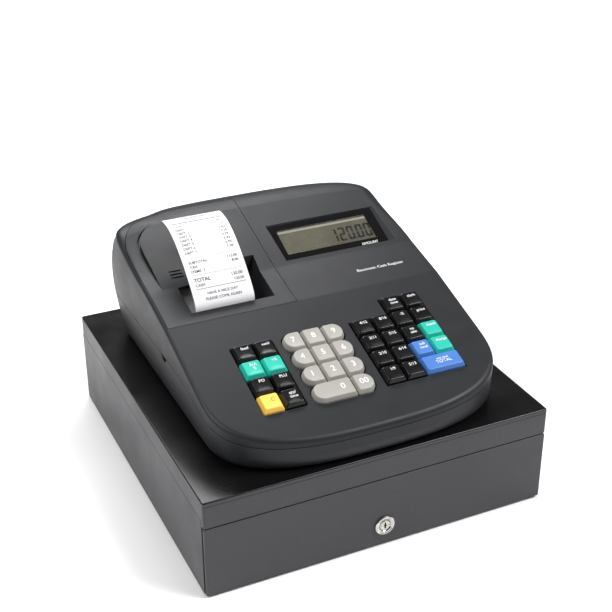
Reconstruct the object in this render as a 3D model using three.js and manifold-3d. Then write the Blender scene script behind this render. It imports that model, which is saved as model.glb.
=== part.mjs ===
// Desk-top cash register: a steel drawer cabinet with a moulded plastic register head on its lid.
// Millimetres, +X to the operator's right, +Y back, +Z up. The origin is under the middle of the
// whole object, on the surface it stands on. Inside this file y counts back from the drawer's face.
import * as THREE from 'three';
import { mergeVertices } from 'three/addons/utils/BufferGeometryUtils.js';
import Module from 'manifold-3d';

const wasm = await Module();
wasm.setup();

// ---- Driving dimensions ----
const GAP = 0.35;
const CABINET = { width: 330, depth: 350, height: 97, steel: 1.2, foot: 1.5, band: 26, skirt: 19.5 };
const LOCK = { x: 1.5, z: 22, bezel: 9.5, barrel: 8, plug: 5, standOut: 2 };
const FACE_Y = -(CABINET.depth - LOCK.standOut) / 2;
const DRAWER = { halfWidth: 155, back: 330, floor: 8, top: 66, plate: 1.2, faceDepth: 3.6 };
const TILL = { halfWidth: 151, front: 20, back: 312, floor: 10, top: 58, wall: 2.4, coinDepth: 104 };
const BILLS = 4;
const COINS = 5;

// The register head: each level is half its width, and where its front and back lie.
const WALL = 2.5;
const HEAD_FLOOR = CABINET.height + GAP;
const PANEL = { height: 123.7, tilt: THREE.MathUtils.degToRad(17.5) };
const BRAND = { start: 154.1, slope: 0.2322 };
const DISPLAY = { start: 204.4, slope: 0.3172 };
const CREST_Y = 291.5;
const HEAD = { half: 138.2, front: 3.6 };
const BULGE = { back: 16, side: 2 };
const EDGE = { front: 3.6, rear: 26 };
const LEFT_SIDE = { sign: -1, corner: 7, narrow: 3.6 };
const RIGHT_SIDE = { sign: 1, corner: 14, narrow: 10.4 };
const HUMP = { step: 5.2, edge: -121.5, bendStart: 262, bend: 36 };
const CORNER_POWER = 2.8;
const FRONT_CORNER_END = 78;
const REAR_CORNER_START = 282;
const HEAD_REAR = 334;

const COVER = { left: -132, right: -10.9, front: 154.4, back: 310 };
const COVER_CORNER = { across: 38, along: 48, power: 1.75, steps: 5 };
const PAPER = { left: -103.9, width: 57, thick: 0.4 };
const CHUTE = { left: -107, right: -24, front: 165.5, back: 222 };
const WINDOW = { left: 5.2, right: 118.5, front: 211.8, back: 259.5, depth: 6.5, pane: 2 };

// Keys: three blocks on the sloping panel. Pitches and block centres are along the panel.
const PITCH = 19.77;
const PAD_PITCH = 21.06;
const KEY = { base: 18.9, rise: 4.1, sunk: 4.5, travel: 3, padDepth: 20.2, bevel: 2.1, padBevel: 1.5 };
const SLOPE_SHIFT = 1.29;

const FINISH = {
  steel: { color: 0x2e2e31, roughness: 0.45, metalness: 0.3 },
  lid: { color: 0x1d1d1f, roughness: 0.3, metalness: 0.2 },
  zinc: { color: 0x9c9ea0, roughness: 0.4, metalness: 0.9 },
  chrome: { color: 0xd5d6d4, roughness: 0.18, metalness: 1 },
  casing: { color: 0x39393b, roughness: 0.55, metalness: 0 },
  lowerCasing: { color: 0x303032, roughness: 0.55, metalness: 0 },
  till: { color: 0x1c1c1e, roughness: 0.6, metalness: 0 },
  window: { color: 0x101012, roughness: 0.08, metalness: 0 },
  lcd: { color: 0x5c5a4a, roughness: 0.3, metalness: 0 },
  mat: { color: 0x6e7073, roughness: 0.8, metalness: 0 },
  board: { color: 0x1f5a34, roughness: 0.5, metalness: 0 },
  rubber: { color: 0x18181a, roughness: 0.85, metalness: 0 },
  ink: { color: 0x33204d, roughness: 0.7, metalness: 0 },
  paper: { color: 0xf2f1ee, roughness: 0.9, metalness: 0 },
  black: { color: 0x1b1c1e, roughness: 0.3, metalness: 0 },
  grey: { color: 0xaaa7a0, roughness: 0.45, metalness: 0 },
  teal: { color: 0x2dbeaa, roughness: 0.4, metalness: 0 },
  blue: { color: 0x4678c8, roughness: 0.4, metalness: 0 },
  yellow: { color: 0xffd764, roughness: 0.4, metalness: 0 },
};

const register = new THREE.Group();
register.position.y = FACE_Y;
const keyPanel = new THREE.Group();
keyPanel.position.z = PANEL.height;
keyPanel.rotation.x = PANEL.tilt;
register.add(keyPanel);

// ---- Small tools ----
function addPart(name, geometry, finish, parent = register) {
  const mesh = new THREE.Mesh(geometry, new THREE.MeshStandardMaterial(FINISH[finish]));
  mesh.name = name;
  parent.add(mesh);
  return mesh;
}

function solidOf(geometry) {
  const bare = geometry.clone();
  bare.deleteAttribute('normal');
  bare.deleteAttribute('uv');
  const merged = mergeVertices(bare);
  const vertProperties = new Float32Array(merged.attributes.position.array);
  const triVerts = new Uint32Array(merged.index.array);
  return new wasm.Manifold(new wasm.Mesh({ numProp: 3, vertProperties, triVerts }));
}

function geometryOf(solid) {
  const mesh = solid.getMesh();
  const geometry = new THREE.BufferGeometry();
  geometry.setAttribute('position', new THREE.BufferAttribute(mesh.vertProperties, 3));
  geometry.setIndex(new THREE.BufferAttribute(mesh.triVerts, 1));
  return geometry;
}

const joined = (first, ...others) => others.reduce((whole, g) => whole.add(solidOf(g)), first);
const without = (first, ...others) => others.reduce((whole, g) => whole.subtract(solidOf(g)), first);

function block(x0, x1, y0, y1, z0, z1) {
  const geometry = new THREE.BoxGeometry(x1 - x0, y1 - y0, z1 - z0);
  return geometry.translate((x0 + x1) / 2, (y0 + y1) / 2, (z0 + z1) / 2);
}

function shapeOf(points) {
  return new THREE.Shape(points.map(([u, v]) => new THREE.Vector2(u, v)));
}

// An outline in Y and Z, extruded from x0 to x1.
function alongX(points, x0, x1) {
  const geometry = new THREE.ExtrudeGeometry(shapeOf(points), { depth: x1 - x0, bevelEnabled: false });
  const axes = new THREE.Matrix4().makeBasis(
    new THREE.Vector3(0, 1, 0),
    new THREE.Vector3(0, 0, 1),
    new THREE.Vector3(1, 0, 0),
  );
  return geometry.applyMatrix4(axes).translate(x0, 0, 0);
}

// An outline in X and Z, extruded from y0 to y1.
function alongY(points, y0, y1) {
  const geometry = new THREE.ExtrudeGeometry(shapeOf(points), { depth: y1 - y0, bevelEnabled: false });
  return geometry.rotateX(Math.PI / 2).translate(0, y1, 0);
}

function rodX(radius, x0, x1, y, z, sides = 20) {
  const rod = new THREE.CylinderGeometry(radius, radius, x1 - x0, sides);
  return rod.rotateZ(Math.PI / 2).translate((x0 + x1) / 2, y, z);
}

function rodY(radius, x, y0, y1, z, sides = 24) {
  return new THREE.CylinderGeometry(radius, radius, y1 - y0, sides).translate(x, (y0 + y1) / 2, z);
}

function rodZ(radius, x, y, z0, z1, sides = 12) {
  const rod = new THREE.CylinderGeometry(radius, radius, z1 - z0, sides);
  return rod.rotateX(Math.PI / 2).translate(x, y, (z0 + z1) / 2);
}

// ---- Cabinet: a folded steel base and a lid that drops over it ----
function cabinetBase() {
  const { steel, foot } = CABINET;
  const outer = CABINET.width / 2;
  const seam = CABINET.height - CABINET.skirt - 0.6;
  const joggle = outer - steel - GAP;
  const top = CABINET.height - steel - GAP;
  const right = [[outer, foot], [outer, seam], [joggle, seam + 0.3], [joggle, top],
    [joggle - steel, top], [joggle - steel, seam - 0.7], [outer - steel, seam - 1.2],
    [outer - steel, foot + steel]];
  const left = right.map(([x, z]) => [-x, z]).reverse();
  const back = CABINET.depth;
  const folded = solidOf(alongY([...right, ...left], 5, back));
  const rearWall = block(-joggle + 0.2, joggle - 0.2, back - steel, back, foot, top);
  const ledges = [-1, 1].flatMap((side) => [20, 28].map((z) => {
    const reach = [side * (DRAWER.halfWidth + 1.6), side * (outer - steel + 0.3)].sort((a, b) => a - b);
    return block(...reach, 12, back - 6, z, z + 2);
  }));
  const catchLip = block(-14, 14, 9, 10.2, foot + steel - 0.2, 7);
  const feet = [-1, 1].flatMap((side) => [30, back - 30].map(
    (y) => new THREE.CylinderGeometry(9, 7, foot + 0.3, 20).rotateX(-Math.PI / 2)
      .translate(side * (outer - 28), y, (foot + 0.3) / 2),
  ));
  return geometryOf(joined(folded, rearWall, ...ledges, catchLip, ...feet));
}

function cabinetLid() {
  const { steel, height, band, skirt, depth } = CABINET;
  const outer = CABINET.width / 2;
  const round = 1.6;
  const roof = [[-outer, height - skirt], [-outer, height - round], [-outer + round, height],
    [outer - round, height], [outer, height - round], [outer, height - skirt],
    [outer - steel, height - skirt], [outer - steel, height - steel],
    [-outer + steel, height - steel], [-outer + steel, height - skirt]];
  const frontBand = alongX([[0, height - band], [0, height - round], [round, height],
    [round + steel, height], [steel, height - steel], [steel, height - band]], -outer, outer);
  const lid = joined(solidOf(alongY(roof, round, depth)), frontBand,
    block(-outer, outer, 0.4, round + 0.5, height - band, height - round));
  const cavity = block(-outer + steel, outer - steel, steel, depth, height - band - 5, height - steel);
  return geometryOf(lid.subtract(solidOf(cavity)));
}

// ---- Drawer ----
function drawerFront() {
  const half = CABINET.width / 2 - 0.4;
  const bottom = CABINET.foot + 0.4;
  const top = CABINET.height - CABINET.band - 0.7;
  const { plate, faceDepth } = DRAWER;
  const panel = solidOf(block(-half, half, 0, faceDepth, bottom, top));
  const hollow = block(-half + plate, half - plate, plate, faceDepth + 1, bottom + plate, top - plate);
  return geometryOf(without(panel, hollow, rodY(LOCK.barrel + GAP, LOCK.x, -1, 6, LOCK.z)));
}

function drawerBox() {
  const { halfWidth, back, floor, top, plate } = DRAWER;
  const front = DRAWER.faceDepth + GAP;
  const outside = solidOf(block(-halfWidth, halfWidth, front, back, floor, top));
  const runners = [-1, 1].map((side) => {
    const reach = [side * (halfWidth - 0.3), side * (halfWidth + 6.5)].sort((a, b) => a - b);
    return block(...reach, front + 10, back, 23.2, 26.8);
  });
  const inside = halfWidth - plate;
  const cavity = block(-inside, inside, front + plate, back - plate, floor + plate, top + 5);
  const lockHole = rodY(LOCK.barrel + GAP, LOCK.x, front - 2, front + plate + 2, LOCK.z);
  const camSlot = block(LOCK.x - 6, LOCK.x + 15, 11, 16, floor - 1, floor + plate + 1);
  return geometryOf(without(joined(outside, ...runners), cavity, lockHole, camSlot));
}

// Compartments from left to right: COINS short ones in front, BILLS long ones behind.
function compartments(count, y0, y1) {
  const pitch = (2 * TILL.halfWidth - TILL.wall) / count;
  return Array.from({ length: count }, (_, i) => {
    const x0 = -TILL.halfWidth + TILL.wall + i * pitch;
    return { x0, x1: x0 + pitch - TILL.wall, y0, y1 };
  });
}

const billFront = TILL.front + TILL.wall + TILL.coinDepth + TILL.wall;
const billBoxes = compartments(BILLS, billFront, TILL.back - TILL.wall);
const coinBoxes = compartments(COINS, TILL.front + TILL.wall, TILL.front + TILL.wall + TILL.coinDepth);
const CLIP = { width: 11, length: 96, hingeY: TILL.back - 9, hingeZ: 50, drop: 20, pin: 2 };

function tillTray() {
  const { halfWidth, front, back, floor, top } = TILL;
  const tray = solidOf(block(-halfWidth, halfWidth, front, back, floor, top));
  const pockets = [...billBoxes, ...coinBoxes].map(
    (c) => block(c.x0, c.x1, c.y0, c.y1, floor + 2, top + 5),
  );
  const ears = billBoxes.flatMap((c) => [-1, 1].map((side) => {
    const x = (c.x0 + c.x1) / 2 + side * (CLIP.width / 2 + 2.4);
    return block(x - 1.2, x + 1.2, CLIP.hingeY - 5, TILL.back - 1, CLIP.hingeZ - 5, CLIP.hingeZ + 5);
  }));
  const pins = billBoxes.map((c) => {
    const middle = (c.x0 + c.x1) / 2;
    const reach = CLIP.width / 2 + 2;
    return rodX(CLIP.pin, middle - reach, middle + reach, CLIP.hingeY, CLIP.hingeZ, 12);
  });
  return geometryOf(joined(without(tray, ...pockets), ...ears, ...pins));
}

// A sprung arm that leans forward and down from its pin and ends in a curved foot on the notes.
function billClip(c) {
  const middle = (c.x0 + c.x1) / 2;
  const [x0, x1] = [middle - CLIP.width / 2, middle + CLIP.width / 2];
  const angle = THREE.MathUtils.degToRad(CLIP.drop);
  const reach = (along, lift) => [
    CLIP.hingeY - along * Math.cos(angle) - lift * Math.sin(angle),
    CLIP.hingeZ - along * Math.sin(angle) + lift * Math.cos(angle),
  ];
  const tip = CLIP.length;
  const arm = alongX([reach(0, 2), reach(tip - 12, 2), reach(tip, -1), reach(tip, -3.5),
    reach(tip - 12, -0.5), reach(0, -1)], x0, x1);
  const knuckle = rodX(CLIP.pin + 2.4, x0, x1, CLIP.hingeY, CLIP.hingeZ, 16);
  const bore = rodX(CLIP.pin + GAP, middle - 20, middle + 20, CLIP.hingeY, CLIP.hingeZ, 16);
  return geometryOf(without(joined(solidOf(arm), knuckle), bore));
}

// ---- Drawer lock ----
function lockBarrel() {
  const { x, z, standOut } = LOCK;
  const bore = LOCK.plug + GAP;
  const profile = [[bore, -standOut + 0.6], [LOCK.plug + 1.4, -standOut], [LOCK.bezel - 0.8, -standOut],
    [LOCK.bezel, -standOut + 0.9], [LOCK.bezel, -GAP], [LOCK.barrel, -GAP], [LOCK.barrel, 9.5],
    [bore, 9.5], [bore, -standOut + 0.6]];
  const lathe = new THREE.LatheGeometry(profile.map(([r, y]) => new THREE.Vector2(r, y)), 32);
  return geometryOf(solidOf(lathe.translate(x, 0, z)));
}

function lockPlug() {
  const { x, z, standOut } = LOCK;
  const plug = solidOf(rodY(LOCK.plug, x, -standOut + 0.7, 14, z, 24));
  const keyway = block(x - 0.7, x + 0.7, -5, 5, z - 3.4, z + 3.4);
  const cam = block(x - 4, x + 17.5, 12, 14, z - 3.6, z + 3.6);
  return geometryOf(joined(without(plug, keyway), cam));
}

// ---- Register head ----
function panelHeight(y) {
  return PANEL.height + y * Math.tan(PANEL.tilt);
}

// Height of the head's top skin: keyboard panel, brand facet, display facet. On the printer side the
// cover's outer strip lies lower than the hump beside it.
function roofHeight(x, y) {
  const brandBase = panelHeight(BRAND.start);
  const displayBase = brandBase + BRAND.slope * (DISPLAY.start - BRAND.start);
  let z = panelHeight(y);
  if (y > BRAND.start) z = brandBase + BRAND.slope * (y - BRAND.start);
  if (y > DISPLAY.start) z = displayBase + DISPLAY.slope * (y - DISPLAY.start);
  return z - stripDrop(x, y);
}

function stripDrop(x, y) {
  if (x > 0 || y < DISPLAY.start) return 0;
  const along = (y - DISPLAY.start) / (CREST_Y - DISPLAY.start);
  const depth = HUMP.step * Math.sin(Math.min(along, 0.78) * Math.PI * 0.8);
  const bend = Math.max(0, y - HUMP.bendStart) / (CREST_Y - HUMP.bendStart);
  const edge = HUMP.edge + HUMP.bend * bend ** 2;
  return depth * (1 - THREE.MathUtils.smoothstep(x, edge - 2, edge + 3 + 6 * bend));
}

const FRONT_STEPS = 8;
const SIDE_ROWS = [100, 127, BRAND.start, 179, DISPLAY.start, 230, 256, REAR_CORNER_START];
const REAR_ROWS = [0.25, 0.49, 0.7, 0.85, 0.94, 0.985, 0.998];
const COLUMNS = [-1, -0.94, -0.87, -0.75, 0, 0.7, 1];

// Half outline of one level, from the middle of the front round to the back. The edge between
// wall and roof is small at the front and grows to a soft shoulder at the rear: `round` is its depth.
function halfOutline({ half, front, rear, edge = 0, start = REAR_CORNER_START, swell = 0 }, side) {
  const rows = [];
  for (let i = 0; i <= FRONT_STEPS; i += 1) {
    const turn = (i / FRONT_STEPS) * (Math.PI / 2);
    const x = half * Math.sin(turn) ** (2 / CORNER_POWER);
    const depth = (FRONT_CORNER_END - front) * Math.max(0, Math.cos(turn)) ** (2 / CORNER_POWER);
    const y = FRONT_CORNER_END - (i === FRONT_STEPS ? 0 : depth);
    rows.push({ x: i === 0 ? 0 : side.sign * x, y, round: EDGE.front });
  }
  const narrow = edge * side.narrow;
  SIDE_ROWS.forEach((y) => {
    const ramp = THREE.MathUtils.smoothstep(y, DISPLAY.start, REAR_CORNER_START);
    const x = half - narrow * ramp + swell * THREE.MathUtils.smoothstep(y, 110, REAR_CORNER_START);
    rows.push({ x: side.sign * x, y, round: EDGE.front + (side.corner - EDGE.front) * ramp });
  });
  REAR_ROWS.forEach((f) => {
    const x = (half - narrow + swell) * (1 - f ** CORNER_POWER) ** (1 / CORNER_POWER);
    const y = start + f * (rear - start);
    rows.push({ x: side.sign * x, y, round: side.corner + (EDGE.rear - side.corner) * f ** 1.5 });
  });
  return rows;
}

// Rows from front to back, each with points from the left edge to the right edge.
function levelGrid(level) {
  const left = halfOutline(level, LEFT_SIDE);
  const right = halfOutline(level, RIGHT_SIDE);
  return left.map((leftEnd, i) => COLUMNS.map((c) => {
    const { x, y, round } = c < 0 ? leftEnd : right[i];
    return new THREE.Vector3(Math.abs(c) * x, y, level.height(Math.abs(c) * x, y, round));
  }));
}

function levelRing(level) {
  const grid = levelGrid(level);
  const last = grid[grid.length - 1];
  const rightSide = grid.map((row) => row[row.length - 1]);
  const leftSide = grid.slice(1, -1).reverse().map((row) => row[0]);
  return [...rightSide, ...last.slice(0, -1).reverse(), ...leftSide];
}

// A closed skin through all the levels, with a floor under the first and a roof over the last.
function loftedHead(levels) {
  const corners = [];
  const triangle = (a, b, c) => corners.push(a, b, c);
  const rings = levels.map(levelRing);
  for (let k = 0; k + 1 < rings.length; k += 1) {
    const [low, high] = [rings[k], rings[k + 1]];
    low.forEach((point, i) => {
      const next = (i + 1) % low.length;
      triangle(point, low[next], high[next]);
      triangle(point, high[next], high[i]);
    });
  }
  const cap = (level, place) => {
    const grid = levelGrid(level);
    for (let j = 0; j + 1 < COLUMNS.length; j += 1) {
      place(grid[0][0], grid[1][j + 1], grid[1][j]);
      for (let i = 1; i + 1 < grid.length; i += 1) {
        place(grid[i][j], grid[i][j + 1], grid[i + 1][j + 1]);
        place(grid[i][j], grid[i + 1][j + 1], grid[i + 1][j]);
      }
    }
  };
  cap(levels[0], (a, b, c) => triangle(a, c, b));
  cap(levels[levels.length - 1], triangle);
  return new THREE.BufferGeometry().setFromPoints(corners);
}

function headLevels(inset, floor) {
  const flat = (half, front, rear, start, z) => ({
    half: half - inset, front: front + inset, rear: rear - inset, start, height: () => z,
  });
  // A share of the way up the wall, which swells backwards and a little sideways at the rear.
  const wall = (share) => {
    const swell = Math.sin(Math.PI * share) ** 0.8;
    const base = floor + 12;
    return {
      half: HEAD.half - 2.3 * (1 - share) - inset,
      front: 2 + 1.6 * share + inset,
      rear: HEAD_REAR - 4 * (1 - share) + BULGE.back * swell - inset,
      start: REAR_CORNER_START + 2 * (1 - share) + BULGE.back * swell,
      swell: BULGE.side * swell,
      height: (x, y, round) => base + share * (roofHeight(x, y) - round - inset - base),
    };
  };
  // A share of the quarter round between the wall top (0) and the roof's edge (1).
  const rounded = (across, down) => ({
    half: HEAD.half - EDGE.front * across - inset,
    front: HEAD.front + EDGE.front * across + inset,
    rear: HEAD_REAR - (HEAD_REAR - CREST_Y) * across - inset,
    edge: across,
    height: (x, y, round) => roofHeight(x, y) - round * down - inset,
  });
  return [
    flat(HEAD.half - 9.8, 9.5, HEAD_REAR - 16, REAR_CORNER_START, floor),
    flat(HEAD.half - 4, 3.8, HEAD_REAR - 6, REAR_CORNER_START, floor + 5),
    flat(HEAD.half - 2.3, 2, HEAD_REAR - 4, REAR_CORNER_START + 2, floor + 12),
    wall(0.22),
    wall(0.5),
    wall(0.8),
    rounded(0, 1),
    rounded(0.13, 0.52),
    rounded(0.45, 0.19),
    rounded(1, 0),
  ];
}

// Where the two case halves meet, seen from the side.
const SEAM = [[-20, 115.5], [4, 118.8], [60, 129], [112, 138], [150, 140.2], [400, 140.2]];

function overSeam(lift) {
  const edge = SEAM.map(([y, z]) => [y, z + lift]);
  return alongX([...edge, [400, 300], [-20, 300]], -200, 200);
}

const headOuter = solidOf(loftedHead(headLevels(0, HEAD_FLOOR)));
const headInner = solidOf(loftedHead(headLevels(WALL, HEAD_FLOOR + WALL)));
const headShell = headOuter.subtract(headInner);

function lowerCase() {
  const bowl = without(headShell, overSeam(-GAP / 2));
  const fingerNotch = rodX(6, -150, -125, 163.7, 140.5, 24);
  const posts = [[-70, 60], [78, 60], [-70, 124], [78, 124]].map(
    ([x, y]) => rodZ(3, x, y, HEAD_FLOOR + 1, panelHeight(y - 3) - 13.4),
  );
  const [across, up] = [INLET.halfWidth + GAP, INLET.halfHeight + GAP];
  const inletHole = block(INLET.x - across, INLET.x + across, 300, 360, INLET.z - up, INLET.z + up);
  return geometryOf(joined(without(bowl, fingerNotch, inletHole), ...posts));
}

// Plan of the lift-off cover: its rear outside corner is a flattened arc inside the rounded shoulder.
function coverWell(grow) {
  const { left, right, front, back } = COVER;
  const { across, along, power, steps } = COVER_CORNER;
  const corner = Array.from({ length: steps + 1 }, (_, i) => {
    const turn = (i / steps) * (Math.PI / 2);
    const [out, rearward] = [Math.sin(turn), Math.max(0, Math.cos(turn))].map((t) => t ** (2 / power));
    return [left + across - (across + grow) * out, back - along + (along + grow) * rearward];
  });
  const plan = [[left - grow, front - grow], [right + grow, front - grow], [right + grow, back + grow],
    ...corner];
  const well = new THREE.ExtrudeGeometry(shapeOf(plan), { depth: 150, bevelEnabled: false });
  return well.translate(0, 0, 150);
}

function keyWell(x0, x1, v0, v1) {
  const margin = 0.7;
  const well = block(x0 - margin, x1 + margin, v0 - margin, v1 + margin, -8, 8);
  return well.rotateX(PANEL.tilt).translate(0, 0, PANEL.height);
}

function windowFloor(y) {
  const back = roofHeight(40, WINDOW.back) - 0.6;
  const front = roofHeight(40, WINDOW.front) - WINDOW.depth;
  return front + (back - front) * ((y - WINDOW.front) / (WINDOW.back - WINDOW.front));
}

// Slab under the recess of the display window, following the pane's slope.
function windowSlab(x0, x1, y0, y1, over, under) {
  return alongX([[y0, windowFloor(y0) - under], [y1, windowFloor(y1) - under],
    [y1, windowFloor(y1) - over], [y0, windowFloor(y0) - over]], x0, x1);
}

function upperCase() {
  const hood = headShell.intersect(solidOf(overSeam(GAP / 2)));
  const { left, right, front, back } = WINDOW;
  const rim = 2;
  const frame = alongX([[front - rim, windowFloor(front) - 4], [back + rim, windowFloor(back) - 4],
    [back + rim, roofHeight(40, back + rim) - 1], [front - rim, roofHeight(40, front - rim) - 1]],
  left - rim, right + rim);
  const wells = keyBlocks.map(({ x0, x1, v0, v1 }) => keyWell(x0, x1, v0, v1));
  const opening = block(left, right, front, back, 150, 300);
  return geometryOf(without(joined(hood, frame), opening, coverWell(GAP), ...wells));
}

function printerCover() {
  const skin = headShell.intersect(solidOf(coverWell(0)));
  const { left, right, front, back } = CHUTE;
  return geometryOf(without(skin, block(left, right, front, back, 150, 300)));
}

// ---- Display ----
function displayWindow() {
  const { left, right, front, back, pane } = WINDOW;
  return windowSlab(left + GAP, right - GAP, front + GAP, back - GAP, 0, pane);
}

function lcdPanel() {
  const under = WINDOW.pane + GAP;
  return windowSlab(10.2, 109.6, 224.7, 251.6, under, under + 2.4);
}

// ---- Keys ----
const legendKeys = [
  ['key_feed', 0, 0, 'black'], ['key_void', 1, 0, 'black'],
  ['key_rate_a', 0, 1, 'teal'], ['key_rate_b', 1, 1, 'teal'],
  ['key_po', 0, 2, 'black'], ['key_plu', 1, 2, 'black'],
  ['key_clear', 0, 3, 'yellow'], ['key_quantity', 1, 3, 'black'],
];
const padKeys = [
  ['key_7', 0, 0, 1, 'left'], ['key_8', 1, 0, 1, 'none'], ['key_9', 2, 0, 1, 'right'],
  ['key_4', 0, 1, 1, 'left'], ['key_5', 1, 1, 1, 'none'], ['key_6', 2, 1, 1, 'right'],
  ['key_1', 0, 2, 1, 'left'], ['key_2', 1, 2, 1, 'none'], ['key_3', 2, 2, 1, 'right'],
  ['key_0', 0, 3, 2, 'left'], ['key_00', 2, 3, 1, 'right'],
];
const functionKeys = [
  ['key_date', 2, 0, 'black'], ['key_clerk', 3, 0, 'black'],
  ['key_dept_4', 0, 1, 'black'], ['key_dept_8', 1, 1, 'black'],
  ['key_percent', 2, 1, 'black'], ['key_price', 3, 1, 'black'],
  ['key_dept_3', 0, 2, 'black'], ['key_dept_7', 1, 2, 'black'],
  ['key_no_sale', 2, 2, 'black'], ['key_cheque', 3, 2, 'teal'],
  ['key_dept_2', 0, 3, 'black'], ['key_dept_6', 1, 3, 'black'],
  ['key_subtotal', 2, 3, 'blue'], ['key_charge', 3, 3, 'teal'],
  ['key_dept_1', 0, 4, 'black'], ['key_dept_5', 1, 4, 'black'],
  ['key_total', 2, 4, 'blue', 2],
];
const LEFT_BLOCK = { x: -82.75, v: 111.1 };
const PAD_BLOCK = { x: -36.0, v: 111.7 };
const RIGHT_BLOCK = { x: 32.6, v: 129.4 };

const halfKey = KEY.base / 2;
const keyBlocks = [
  { x0: LEFT_BLOCK.x - halfKey, x1: LEFT_BLOCK.x + PITCH + halfKey,
    v0: LEFT_BLOCK.v + SLOPE_SHIFT - 3 * PITCH - halfKey, v1: LEFT_BLOCK.v + SLOPE_SHIFT + halfKey },
  { x0: PAD_BLOCK.x - halfKey, x1: PAD_BLOCK.x + 2 * PITCH + halfKey,
    v0: PAD_BLOCK.v + SLOPE_SHIFT - 3 * PAD_PITCH - KEY.padDepth / 2,
    v1: PAD_BLOCK.v + SLOPE_SHIFT + KEY.padDepth / 2 },
  { x0: RIGHT_BLOCK.x - halfKey, x1: RIGHT_BLOCK.x + 3 * PITCH + halfKey,
    v0: RIGHT_BLOCK.v + SLOPE_SHIFT - 4 * PITCH - halfKey,
    v1: RIGHT_BLOCK.v + SLOPE_SHIFT - PITCH + halfKey },
  { x0: RIGHT_BLOCK.x + 2 * PITCH - halfKey, x1: RIGHT_BLOCK.x + 3 * PITCH + halfKey,
    v0: RIGHT_BLOCK.v + SLOPE_SHIFT - PITCH, v1: RIGHT_BLOCK.v + SLOPE_SHIFT + halfKey },
];

// Key outline: a rectangle whose ends are cut to small corners or rounded over their full depth.
function keyOutline(width, depth, rounded) {
  const [w, d] = [width / 2, depth / 2];
  const corner = (side) => (rounded === side ? d * 0.92 : 1.2);
  const [l, r] = [corner('left'), corner('right')];
  const steps = rounded === 'none' ? 1 : 3;
  const arc = (cx, cy, radius, from, count) => Array.from({ length: count + 1 }, (_, i) => {
    const turn = from + (i / count) * (Math.PI / 2);
    return [cx + radius * Math.cos(turn), cy + radius * Math.sin(turn)];
  });
  return [
    ...arc(w - r, d - r, r, 0, steps),
    ...arc(-w + l, d - l, l, Math.PI / 2, steps),
    ...arc(-w + l, -d + l, l, Math.PI, steps),
    ...arc(w - r, -d + r, r, -Math.PI / 2, steps),
  ];
}

function keyCap(width, depth, rounded, bevel) {
  const levels = [
    { z: -KEY.sunk, inset: 0, back: 0 },
    { z: 0.6, inset: 0.15, back: 0 },
    { z: KEY.rise - 0.5, inset: bevel * 0.85, back: 0.25 },
    { z: KEY.rise, inset: bevel, back: 0.3 },
  ];
  const rings = levels.map(({ z, inset, back }) => keyOutline(width - 2 * inset, depth - 2 * inset, rounded)
    .map(([x, y]) => new THREE.Vector3(x, y + back, z)));
  const corners = [];
  rings.slice(0, -1).forEach((low, k) => low.forEach((point, i) => {
    const next = (i + 1) % low.length;
    const high = rings[k + 1];
    corners.push(point, low[next], high[next], point, high[next], high[i]);
  }));
  const [bottom, top] = [rings[0], rings[rings.length - 1]];
  const middle = (ring) => ring.reduce((sum, p) => sum.add(p), new THREE.Vector3()).divideScalar(ring.length);
  bottom.forEach((p, i) => corners.push(middle(bottom), bottom[(i + 1) % bottom.length], p));
  top.forEach((p, i) => corners.push(middle(top), p, top[(i + 1) % top.length]));
  return new THREE.BufferGeometry().setFromPoints(corners);
}

function addKey(name, x, v, cap, finish) {
  const key = addPart(name, cap, finish, keyPanel);
  key.position.set(x, v + SLOPE_SHIFT, 0);
}

// A square key, or a wide one that spans several pitches.
const squareCap = (span) => keyCap(KEY.base + (span - 1) * PITCH, KEY.base, 'none', KEY.bevel);
const padCap = (span, side) => keyCap(KEY.base + (span - 1) * PITCH, KEY.padDepth, side, KEY.padBevel);

function addKeys() {
  legendKeys.forEach(([name, column, row, finish]) => {
    const [x, v] = [LEFT_BLOCK.x + column * PITCH, LEFT_BLOCK.v - row * PITCH];
    addKey(name, x, v, squareCap(1), finish);
  });
  padKeys.forEach(([name, column, row, span, rounded]) => {
    const x = PAD_BLOCK.x + (column + (span - 1) / 2) * PITCH;
    addKey(name, x, PAD_BLOCK.v - row * PAD_PITCH, padCap(span, rounded), 'grey');
  });
  functionKeys.forEach(([name, column, row, finish, span = 1]) => {
    const x = RIGHT_BLOCK.x + (column + (span - 1) / 2) * PITCH;
    addKey(name, x, RIGHT_BLOCK.v - row * PITCH, squareCap(span), finish);
  });
}

function addKeyBoards() {
  const matTop = -KEY.sunk - KEY.travel - 0.8;
  addPart('key_mat', block(-96, 104, 40, 144, matTop - 2, matTop), 'mat', keyPanel);
  addPart('key_board', block(-98, 106, 38, 146, matTop - 3.9, matTop - 2.3), 'board', keyPanel);
}

// ---- Printer ----
const ROLL = { y: 262, z: 136, radius: 24, core: 6.3 };
const PLATEN = { y: 184, z: 148, radius: 8, shaft: 3 };
const INKER = { y: 168, z: 148, radius: 6, shaft: 2.5 };
const INLET = { x: 40, z: 121, inner: 326, face: 344.6, halfWidth: 10, halfHeight: 8 };
const paperRight = PAPER.left + PAPER.width;

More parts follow.
